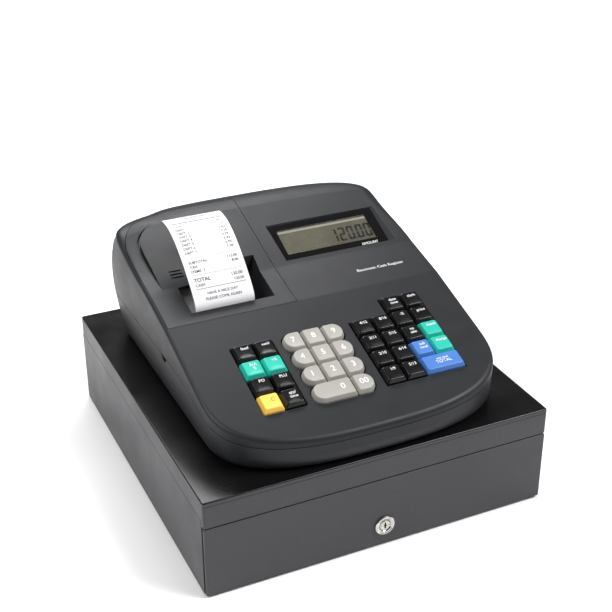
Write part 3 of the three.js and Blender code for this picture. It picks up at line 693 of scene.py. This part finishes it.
def key_list():
    """Name, x, v, width, depth, round end, finish, legend lines."""
    keys = []
    left = [("key_feed", 0, 0, "black", "feed"), ("key_void", 1, 0, "black", "void"),
            ("key_rate_a", 0, 1, "teal", "R/A\n%"), ("key_rate_b", 1, 1, "teal", "+%"),
            ("key_po", 0, 2, "black", "PO"), ("key_plu", 1, 2, "black", "PLU"),
            ("key_clear", 0, 3, "yellow", "C"), ("key_quantity", 1, 3, "black", "qty/\ntime")]
    for name, column, row, finish, legend in left:
        x, v = LEFT_X + column * PITCH, LEFT_V - row * PITCH
        keys.append((name, x, v, KEY_BASE, KEY_BASE, "", finish, legend))
    pad = ["7", "8", "9", "4", "5", "6", "1", "2", "3"]
    for i, digit in enumerate(pad):
        column, row = i % 3, i // 3
        end = ("left", "", "right")[column]
        x, v = PAD_X + column * PITCH, PAD_V - row * PAD_PITCH
        keys.append((f"key_{digit}", x, v, KEY_BASE, PAD_DEPTH, end, "grey", digit))
    last = PAD_V - 3 * PAD_PITCH
    keys.append(("key_0", PAD_X + PITCH / 2, last, KEY_BASE + PITCH, PAD_DEPTH, "left", "grey", "0"))
    keys.append(("key_00", PAD_X + 2 * PITCH, last, KEY_BASE, PAD_DEPTH, "right", "grey", "00"))
    right = [("key_date", 2, 0, "black", "date\ntime"), ("key_clerk", 3, 0, "black", "clerk"),
             ("key_dept_4", 0, 1, "black", "4/12"), ("key_dept_8", 1, 1, "black", "8/16"),
             ("key_percent", 2, 1, "black", "-%"), ("key_price", 3, 1, "black", "price"),
             ("key_dept_3", 0, 2, "black", "3/11"), ("key_dept_7", 1, 2, "black", "7/15"),
             ("key_no_sale", 2, 2, "black", "no\nsale"), ("key_cheque", 3, 2, "teal", "check"),
             ("key_dept_2", 0, 3, "black", "2/10"), ("key_dept_6", 1, 3, "black", "6/14"),
             ("key_subtotal", 2, 3, "blue", "sub\ntotal"), ("key_charge", 3, 3, "teal", "charge"),
             ("key_dept_1", 0, 4, "black", "1/9"), ("key_dept_5", 1, 4, "black", "5/13")]
    for name, column, row, finish, legend in right:
        x, v = RIGHT_X + column * PITCH, RIGHT_V - row * PITCH
        keys.append((name, x, v, KEY_BASE, KEY_BASE, "", finish, legend))
    x, v = RIGHT_X + 2.5 * PITCH, RIGHT_V - 4 * PITCH
    keys.append(("key_total", x, v, KEY_BASE + PITCH, KEY_BASE, "", "blue", "amt tend\nTOTAL"))
    return keys


KEYS = key_list()
RISE = 4.1
DISH = 0.5


def key_outline(width, depth, end, inset, radius=1.3):
    w, d = width / 2 - inset, depth / 2 - inset
    full = d * 0.93
    radii = (full if end == "left" else radius, full if end == "right" else radius)
    return rounded_rect(-w, w, -d, d, radii, 7)


def key_cap(name, x, v, width, depth, end):
    """A skirt, four sloping sides, a small round rim and a dished top."""
    v += SHIFT
    grey = depth > KEY_BASE
    slope = 1.5 if grey else 1.75
    sides = [(-4.5, 0.0, 0.0, 1.1), (0.4, 0.12, 0.0, 1.1), (1.0, 0.35, 0.03, 1.2),
             (RISE - 1.1, slope * 0.82, 0.2, 1.5), (RISE - 0.5, slope * 0.93, 0.26, 1.6),
             (RISE - 0.16, slope + 0.18, 0.3, 1.7), (RISE, slope + 0.6, 0.3, 1.8)]
    rings = []
    for w, inset, back, radius in sides:
        outline = key_outline(width, depth, end, inset, radius)
        rings.append([on_panel(x + a, v + b + back, w) for a, b in outline])
    inset, back, radius = sides[-1][1:]
    rim = key_outline(width, depth, end, inset, radius)
    for share in (0.96, 0.91, 0.85, 0.78, 0.7, 0.62, 0.53, 0.44, 0.34, 0.24, 0.12):
        ring = []
        for a, b in rim:
            w = RISE - dish_depth(a * share, b * share, width / 2 - inset, depth / 2 - inset)
            ring.append(on_panel(x + a * share, v + b * share + back, w))
        rings.append(ring)
    return stacked(name, rings)


def dish_depth(a, b, half_width, half_depth):
    """The top is hollowed from side to side, and a little from front to back."""
    u, t = min(1, abs(a) / half_width), min(1, abs(b) / half_depth)
    return DISH * (1 - u ** 3) * (1 - t ** 2.4)


def key_legend(key):
    name, x, v, width, depth, _, finish, legend = key
    half_width, half_depth = width / 2 - 2.3, depth / 2 - 2.3
    lines = legend.split("\n")
    ink = "faint_ink" if name == "key_clear" else "white_ink"
    if finish == "grey":
        size, bold, anchor, align = 8.6, 0.04, (0.0, 0.6), "CENTER"
        if name == "key_0":
            anchor = (half_width - 7.6, 0.6)
    elif name == "key_total":
        size, bold, anchor, align = 3.9, 0.03, (1.0, 2.8), "CENTER"
    elif name == "key_clear":
        size, bold, anchor, align = 6.0, 0.08, (2.6, 1.6), "CENTER"
    else:
        size, bold, anchor, align = 4.2, 0.03, (1.4, half_depth - 3.4), "CENTER"
    parts = []
    for row, line in enumerate(lines):
        height = size
        if name == "key_total":
            height = 3.2 if row == 0 else 4.9

        def place(right, up, row=row):
            a = anchor[0] + right
            b = anchor[1] + up - row * size * 0.98
            w = RISE + 0.09 - dish_depth(a, b, half_width, half_depth)
            return on_panel(x + a, v + SHIFT + 0.3 + b, w)
        parts.append(paint(lettering(line, height, place, align, bold), ink))
    return merged(name + "_legend", parts)


def build_keys():
    for key in KEYS:
        name, x, v, width, depth, end, finish, _ = key
        cap = key_cap(name + "_cap", x, v, width, depth, end)
        paint(cap, "key_" + finish)
        smooth(cap, 42, weighted=False)
        piece(cap, name + "_cap", name, [name])
        legend = key_legend(key)
        piece(legend, name + "_legend", name)


# ---- Register head pieces ----
def key_wells():
    cutters = []
    half = KEY_BASE / 2 + 0.8
    left = rounded_rect(LEFT_X - half, LEFT_X + PITCH + half, LEFT_V + SHIFT - 3 * PITCH - half,
                        LEFT_V + SHIFT + half, 1.8, 3)
    x0, x1, x2 = RIGHT_X - half, RIGHT_X + 2 * PITCH - half, RIGHT_X + 3 * PITCH + half
    v0, v1, v2 = (RIGHT_V + SHIFT - 4 * PITCH - half, RIGHT_V + SHIFT - PITCH + half, RIGHT_V + SHIFT + half)
    right = [(x0, v0), (x2, v0), (x2, v2), (x1, v2), (x1, v1), (x0, v1)]
    cutters += [well(left), well(right)]
    pad = [key for key in KEYS if key[6] == "grey"]
    for _, x, v, width, depth, end, _, _ in pad:
        outline = [(x + a, v + SHIFT + b) for a, b in key_outline(width, depth, end, -0.95, 1.6)]
        cutters.append(well(outline, 0.4))
    return cutters


def crescent():
    """A groove at the foot of the hump's outer wall, widest halfway and tapering to both ends."""
    foot = []
    for (x0, y0), (x1, y1) in zip(HUMP_EDGE, HUMP_EDGE[1:]):
        foot += [(x0 + (x1 - x0) * k / 6, y0 + (y1 - y0) * k / 6) for k in range(6)]
    foot = [p for p in foot if p[1] > 205]
    outer = []
    for i, (x, y) in enumerate(foot):
        before, after = foot[max(i - 1, 0)], foot[min(i + 1, len(foot) - 1)]
        run = Vector((after[0] - before[0], after[1] - before[1])).normalized()
        width = 0.05 + 3.4 * max(0.0, math.sin(math.pi * i / (len(foot) - 1))) ** 0.9
        outer.append((x - run.y * width, y + run.x * width))
    ring = foot + outer[::-1]
    return stacked("crescent", [[(x, y, main_height(y) - strip_drop(x, y) - 2.1) for x, y in ring],
                                [(x, y, main_height(y) + 0.2) for x, y in ring]])


NOTCH_RADIUS, NOTCH_Y, NOTCH_Z = 6, 163.7, 140.5
INLET_LEFT, INLET_RIGHT, INLET_LOW, INLET_HIGH = 29.65, 50.35, 112.65, 129.35


def build_head():
    shell = head_shell()
    hood = copy_of(shell, "hood")
    within(hood, over_seam(0.28))
    notch = rod_x(NOTCH_RADIUS, -150, -125, NOTCH_Y, NOTCH_Z, 48)
    inlet = block(INLET_LEFT, INLET_RIGHT, 300, 360, INLET_LOW, INLET_HIGH)
    lower = cut(shell, over_seam(-0.28), notch, inlet)
    smooth(paint(lower, "lower"))
    piece(lower, "lower_case_shell", "cabinet", ["lower_case"])

    cover = copy_of(hood, "cover")
    within(cover, prism_z(COVER_PLAN, 160, 260))
    liner = stacked("liner", [[(-46, 166, 158), (-20.5, 166, 158), (-20.5, 228, 158), (-46, 228, 158)],
                              [(-46, 166, main_height(166) - 1.2), (-20.5, 166, main_height(166) - 1.2),
                               (-20.5, 228, main_height(228) - 1.2), (-46, 228, main_height(228) - 1.2)]])
    join(cover, liner)
    cut(cover, crescent())
    chute = stacked("chute", [
        [(x, y, 140) for x, y in CHUTE_LOW],
        [(x, y, 163) for x, y in CHUTE_LOW],
        [(x, y, main_height(y)) for x, y in CHUTE_TOP],
        [(x, y, main_height(y) + 1.2) for x, y in grown_plan(CHUTE_TOP, 0.9)],
        [(x, y, 240) for x, y in grown_plan(CHUTE_TOP, 0.9)],
    ])
    cut(cover, chute)
    ribs = []
    for y in (217.5, 221.5, 225.5):
        ribs.append(block(-108.5, -97, y - 0.6, y + 0.6, main_height(y) - 1, main_height(y) + 0.6))
    join(cover, *ribs)
    smooth(paint(cover, "case"))
    piece(cover, "printer_cover_shell", "cover", ["printer_cover"])

    rim = prism_x([(208, window_floor(208) - 4), (261.5, window_floor(261.5) - 4),
                   (261.5, main_height(261.5) - 1), (208, main_height(208) - 1)], 3, 124)
    cover_well = prism_z(grown_plan(COVER_PLAN, 0.5), 160, 260)
    upper = cut(join(hood, rim), cover_well, window_cutter(), *key_wells())
    smooth(paint(upper, "case"))
    piece(upper, "upper_case_shell", "cabinet", ["upper_case"])


def plate_along_window(outline, over, under, name):
    return stacked(name, [[(x, y, window_floor(y) - depth) for x, y in outline] for depth in (under, over)])


def build_display():
    pane = plate_along_window(rounded_rect(5.55, 118.15, 212.15, 259.15, 0.8, 3), 0, 2, "pane")
    cut(pane, plate_along_window(rounded_rect(12.0, 108.4, 223.6, 252.0, 0.6, 3), -1, 3, "hole"))
    smooth(paint(bevelled(pane, 0.25), "pane"), 30)
    piece(pane, "display_pane", "cabinet", ["display_window"])
    glass = plate_along_window(rounded_rect(11.8, 108.6, 223.4, 252.2, 0.6, 3), 0.9, 3.4, "glass")
    smooth(paint(glass, "lcd"), 30)
    piece(glass, "lcd_glass", "cabinet", ["lcd_panel"])
    # A lighter plate along the top of the LCD: painted reflection of the bezel in the LCD glass
    strip = plate_along_window(rounded_rect(12.4, 108.0, 248.6, 251.0, 0.5, 3), 0.6, 1.0, "strip")
    smooth(paint(bevelled(strip, 0.15), "lcd_painted_reflection"), 30)
    piece(strip, "lcd_reflection_strip", "cabinet")
    digits = []
    patterns = {"0": "abcdef", "1": "bc", "2": "abged"}
    wide, tall, bar = 7.2, 16.0, 2.2
    bottom = 227.4

    def segment(x, letter):
        gap = 0.25
        h, half = wide, tall / 2
        flat = {"a": tall - bar, "g": half - bar / 2, "d": 0.0}
        if letter in flat:
            y0 = flat[letter]
            ring = [(x + gap, y0 + bar / 2), (x + bar * 0.7, y0), (x + h - bar * 0.7, y0),
                    (x + h - gap, y0 + bar / 2), (x + h - bar * 0.7, y0 + bar), (x + bar * 0.7, y0 + bar)]
        else:
            x0 = x if letter in "ef" else x + h - bar
            y0 = 0.0 if letter in "ec" else half
            ring = [(x0 + bar / 2, y0 + gap), (x0 + bar, y0 + bar * 0.6), (x0 + bar, y0 + half - bar * 0.6),
                    (x0 + bar / 2, y0 + half - gap), (x0, y0 + half - bar * 0.6), (x0, y0 + bar * 0.6)]
        points = []
        for a, b in ring:
            y = bottom + b
            points.append((a + b * 0.1, y, window_floor(y) - 0.84))
        return raw_object("segment", points, [tuple(range(len(points)))])

    cells = [("1", 62.5), ("2", 71.6), ("0", 80.7), (".", 88.6), ("0", 90.6), ("0", 99.6)]
    for symbol, x in cells:
        if symbol == ".":
            ring = [(x, 0.2), (x + 1.4, 0.2), (x + 1.4, 1.6), (x, 1.6)]
            points = [(a, bottom + b, window_floor(bottom + b) - 0.84) for a, b in ring]
            digits.append(paint(raw_object("segment", points, [(0, 1, 2, 3)]), "segment"))
            continue
        for letter in patterns[symbol]:
            digits.append(paint(segment(x, letter), "segment"))
    piece(merged("lcd_digits", digits), "lcd_digits", "cabinet")
    def under_lcd(a, b):
        y = 218.4 + b
        return (107.5 + a, y, window_floor(y) + 0.05)
    label = lettering("AMOUNT", 4.2, under_lcd, "RIGHT")
    piece(paint(label, "white_ink"), "amount_label", "cabinet")

    def on_brand(a, b):
        y = 176.5 + b
        return (112.0 + a, y, main_height(y) + 0.05)
    title = lettering("Electronic Cash Register", 5.0, on_brand, "RIGHT")
    piece(paint(title, "white_ink"), "case_title", "cabinet")


# ---- Cabinet ----
WIDTH = 330.0
DEPTH = 350.0
HEIGHT = 97.0
LOCK_X, LOCK_Z = 1.5, 22.0


def build_lid():
    outer = WIDTH / 2
    plan = rounded_rect(-outer, outer, 0, DEPTH, 2.2, 5)
    lid = prism_z(plan, HEIGHT - 26, HEIGHT, "lid")
    bevelled(lid, 1.5, 4, 60)
    cut(lid, block(-outer + 1.2, outer - 1.2, 1.2, DEPTH + 5, HEIGHT - 40, HEIGHT - 1.2))
    cut(lid, block(-outer - 1, outer + 1, 6.5, DEPTH + 5, HEIGHT - 40, HEIGHT - 19.5))
    groove = block(-outer - 1, outer + 1, -1, 0.35, HEIGHT - 4.4, HEIGHT - 3.9)
    cut(lid, groove)
    paint(lid, "lid", "cabinet")
    for face in lid.data.polygons:
        face.material_index = 0 if face.normal.z > 0.5 else 1
    smooth(lid, 30)
    piece(lid, "lid_shell", "cabinet", ["cabinet_lid"])


def build_drawer_front():
    half = WIDTH / 2 - 0.4
    bottom, top = 1.9, HEIGHT - 26.7
    ring = rounded_rect(-half, half, bottom, top, 1.2, 4)
    panel = stacked("panel", [[(x, y, z) for x, z in ring] for y in (0, 3.6)])
    bevelled(panel, 0.9, 3, 60)
    inner = rounded_rect(-half + 1.2, half - 1.2, bottom + 1.2, top - 1.2, 0.8, 4)
    hollow = stacked("hollow", [[(x, y, z) for x, z in inner] for y in (1.2, 5)])
    cut(panel, hollow, rod_y(8.35, LOCK_X, LOCK_Z, -2, 6, 48))
    smooth(paint(panel, "cabinet"), 30)
    piece(panel, "drawer_front_panel", "drawer", ["drawer_front"])


def build_lock():
    profile = [(5.35, -1.1), (6.2, -2.0), (6.6, -2.0), (7.0, -1.7), (7.6, -1.7), (8.0, -2.0), (8.9, -1.95),
               (9.4, -1.5), (9.5, -0.9), (9.5, -0.35), (8.0, -0.35), (8.0, 9.5), (5.35, 9.5)]
    barrel = turned_y(profile, LOCK_X, LOCK_Z, 64)
    smooth(paint(barrel, "chrome"), 30)
    piece(barrel, "lock_bezel", "drawer", ["lock_barrel"])
    plug = rod_y(5.0, LOCK_X, LOCK_Z, -1.6, 14, 48)
    bevelled(plug, 0.5, 3, 60)
    keyway = [(0.7, 18.9), (2.3, 18.9), (2.3, 21.2), (2.9, 21.2), (2.9, 22.6), (2.2, 22.6), (2.2, 25.2),
              (0.9, 25.2), (0.9, 23.2), (0.4, 23.2), (0.4, 21.8), (0.7, 21.8)]
    cut(plug, stacked("keyway", [[(x, y, z) for x, z in keyway] for y in (-5, 3)]))
    for dx in (-3.6, 3.6):
        cut(plug, rod_y(0.45, LOCK_X + dx, LOCK_Z, -3, -1.2, 16))
    join(plug, block(-2.5, 19, 12, 14, 18.4, 25.6))
    smooth(paint(plug, "chrome"), 30)
    piece(plug, "lock_core", "lock_cylinder", ["lock_plug"])


# ---- Receipt ----
RECEIPT_PATH = [(169.4, 168), (167.9, 174), (168.4, 181), (174.5, 189.5), (183.5, 198.6), (197, 210.6),
                (212, 221.2), (222, 226.4), (232.2, 230), (242, 231.4), (250.8, 231)]
PAPER_LEFT, PAPER_WIDTH = -103.9, 57.0
PRINT_LIFT = 0.3
LINE_SPACING = 1.13


def receipt_spine():
    """Points every fraction of a millimetre along the paper, with their length from the slot."""
    path = [RECEIPT_PATH[0]] + RECEIPT_PATH + [RECEIPT_PATH[-1]]
    spine = []
    for k in range(1, len(path) - 2):
        p0, p1, p2, p3 = (Vector(path[k + i]) for i in (-1, 0, 1, 2))
        for step in range(12):
            t = step / 12
            spine.append(0.5 * ((2 * p1) + (p2 - p0) * t + (2 * p0 - 5 * p1 + 4 * p2 - p3) * t * t
                                + (3 * p1 - p0 - 3 * p2 + p3) * t ** 3))
    spine.append(Vector(RECEIPT_PATH[-1]))
    lengths = [0.0]
    for a, b in zip(spine, spine[1:]):
        lengths.append(lengths[-1] + (b - a).length)
    return spine, lengths


SPINE, SPINE_LENGTHS = receipt_spine()


def on_receipt(x, along, lift):
    """A point on the paper's printed side, along millimetres from its slot end."""
    along = min(max(along, 0.0), SPINE_LENGTHS[-1] - 1e-4)
    k = next(i for i in range(len(SPINE_LENGTHS) - 1) if SPINE_LENGTHS[i + 1] > along)
    share = (along - SPINE_LENGTHS[k]) / (SPINE_LENGTHS[k + 1] - SPINE_LENGTHS[k])
    point = SPINE[k].lerp(SPINE[k + 1], share)
    ahead, behind = SPINE[min(k + 2, len(SPINE) - 1)], SPINE[max(k - 1, 0)]
    tangent = (ahead - behind).normalized()
    normal = Vector((-tangent.y, tangent.x))
    point = point + normal * lift
    return (x, point.x, point.y)


def build_receipt():
    total = SPINE_LENGTHS[-1]
    columns, rows = 14, 90
    points, faces = [], []
    for lift in (0.1, -0.08):
        for r in range(rows + 1):
            for c in range(columns + 1):
                points.append(on_receipt(PAPER_LEFT + PAPER_WIDTH * c / columns, total * r / rows, lift))
    wide = columns + 1
    layer = wide * (rows + 1)
    for r in range(rows):
        for c in range(columns):
            a = r * wide + c
            quad = (a, a + 1, a + 1 + wide, a + wide)
            faces.append(quad)
            faces.append(tuple(layer + v for v in quad[::-1]))
    far = rows * wide
    edge = [(c, c + 1) for c in range(columns)]
    edge += [(r * wide + columns, (r + 1) * wide + columns) for r in range(rows)]
    edge += [(far + c + 1, far + c) for c in range(columns)]
    edge += [((r + 1) * wide, r * wide) for r in range(rows)]
    for a, b in edge:
        faces.append((a, layer + a, layer + b, b))
    paper = raw_object("paper", points, faces)
    smooth(paint(paper, "paper"), 40, weighted=False)
    piece(paper, "receipt_strip", "cover", ["receipt_paper"])

    prints = []

    def line(text, from_top, size, x, align="LEFT", bold=0.0):
        middle = total - from_top * LINE_SPACING

        def place(a, b):
            return on_receipt(x + a, middle + b, PRINT_LIFT)
        prints.append(paint(lettering(text, size, place, align, bold), "grey_ink"))

    def rule(from_top, x0=4.0, x1=53.0, thick=0.35):
        middle = total - from_top * LINE_SPACING
        low, high = middle - thick / 2, middle + thick / 2
        step = (x1 - x0) / 10
        ring = [on_receipt(PAPER_LEFT + x0 + step * i, low, PRINT_LIFT) for i in range(11)]
        ring += [on_receipt(PAPER_LEFT + x1 - step * i, high, PRINT_LIFT) for i in range(11)]
        prints.append(paint(raw_object("rule", ring, [tuple(range(22))]), "grey_ink"))

    left, right, centre = PAPER_LEFT + 5, PAPER_LEFT + 52, PAPER_LEFT + 28.5
    rule(1.6)
    line("CASH RECEIPT", 4.6, 4.2, centre, "CENTER", 0.04)
    line("THANK YOU", 8.6, 3.4, centre, "CENTER")
    rule(11.4, thick=0.9)
    line("12:30", 15.6, 3.6, left)
    line("001", 15.6, 3.6, right, "RIGHT")
    for i in range(7):
        at = 20.5 + i * 4.0
        line(f"DEPT {i + 1}", at, 3.7, left, bold=0.02)
        line(f"{(i * 37) % 9 + 1}.{(i * 53) % 90 + 10}", at, 3.7, right, "RIGHT", 0.02)
    rule(49.5, thick=0.2)
    line("SUBTOTAL", 53.5, 3.7, left, bold=0.02)
    line("112.00", 53.5, 3.7, right, "RIGHT", 0.02)
    line("TAX", 57.5, 3.7, left, bold=0.02)
    line("8.00", 57.5, 3.7, right, "RIGHT", 0.02)
    line("ITEMS  7", 61.5, 3.7, left, bold=0.02)
    rule(64.5, thick=0.2)
    line("TOTAL", 69.0, 5.0, left, bold=0.06)
    line("120.00", 69.0, 4.2, right, "RIGHT", 0.03)
    line("CASH", 73.5, 3.7, left, bold=0.02)
    line("120.00", 73.5, 3.7, right, "RIGHT", 0.02)
    rule(76.5)
    line("HAVE A NICE DAY", 81.0, 3.6, centre, "CENTER")
    line("PLEASE COME AGAIN", 85.5, 3.6, centre, "CENTER")
    piece(merged("receipt_print", prints), "receipt_print", "cover")


# ---- CAD nodes that stay, with better finishes ----
def dress_cad_nodes():
    finishes = {"cabinet_base": "cabinet", "drawer_box": "zinc", "till_tray": "till", "printer_frame": "zinc",
                "platen_roller": "rubber", "ink_roller": "felt", "paper_roll": "roll", "key_mat": "mat",
                "key_board": "board", "power_inlet": "socket"}
    finishes.update({f"bill_clip_{i}": "till" for i in (1, 2, 3, 4)})
    for node, finish in finishes.items():
        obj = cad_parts[node]
        for slot in obj.material_slots:
            slot.material = MAT[finish]


# ---- Floor, light, camera ----
WORLD_POWER = 0.13
SUN_FROM, SUN_POWER, SUN_SPREAD = (0.75, -0.4, 1.0), 3.3, 32
BOX_POWER = 18
CAMERA_PLACE = (-0.41553, -0.90847, 0.68023)
CAMERA_ANGLES = (62.275, 0.132, -25.04)
CAMERA_LENS, SENSOR_WIDTH = 70.83, 36


def build_stage():
    s = Shader("floor", Roughness=0.6)
    s.colours(s.noise(3, 2), srgb(250, 250, 250), srgb(255, 255, 255))
    mesh = bpy.data.meshes.new("floor")
    reach = 30.0
    corners = [(-reach, -reach, 0), (reach, -reach, 0), (reach, reach, 0), (-reach, reach, 0)]
    mesh.from_pydata(corners, [], [(0, 1, 2, 3)])
    floor = bpy.data.objects.new("floor", mesh)
    mesh.materials.append(s.material)
    scene.collection.objects.link(floor)

    world = bpy.data.worlds.new("studio")
    world.use_nodes = True
    world.node_tree.nodes["Background"].inputs["Color"].default_value = (1, 1, 1, 1)
    world.node_tree.nodes["Background"].inputs["Strength"].default_value = WORLD_POWER
    scene.world = world

    def softbox(name, place, target, size, power):
        light = bpy.data.lights.new(name, "AREA")
        light.shape = "RECTANGLE"
        light.size, light.size_y = size
        light.energy = power
        obj = bpy.data.objects.new(name, light)
        obj.location = place
        obj.rotation_euler = (Vector(target) - Vector(place)).to_track_quat("-Z", "Y").to_euler()
        scene.collection.objects.link(obj)

    softbox("left_light", (-1.25, 0.0, 1.35), (-0.1, 0, 0.12), (0.9, 0.9), BOX_POWER)
    softbox("back_light", (0.1, 1.0, 1.25), (0, 0.15, 0.2), (1.1, 0.4), BOX_POWER)
    sun = bpy.data.lights.new("soft_sun", "SUN")
    sun.angle = math.radians(SUN_SPREAD)
    sun.energy = SUN_POWER
    lamp = bpy.data.objects.new("soft_sun", sun)
    lamp.rotation_euler = Vector(SUN_FROM).to_track_quat("Z", "Y").to_euler()
    scene.collection.objects.link(lamp)


def build_camera():
    data = bpy.data.cameras.new("camera")
    data.lens = CAMERA_LENS
    data.sensor_width = SENSOR_WIDTH
    camera = bpy.data.objects.new("camera", data)
    camera.location = CAMERA_PLACE
    camera.rotation_euler = [math.radians(angle) for angle in CAMERA_ANGLES]
    scene.collection.objects.link(camera)
    bpy.context.scene.camera = camera


build_camera()
build_stage()
dress_cad_nodes()
build_head()
build_display()
build_keys()
build_lid()
build_drawer_front()
build_lock()
build_receipt()
scene.view_settings.view_transform = "Standard"
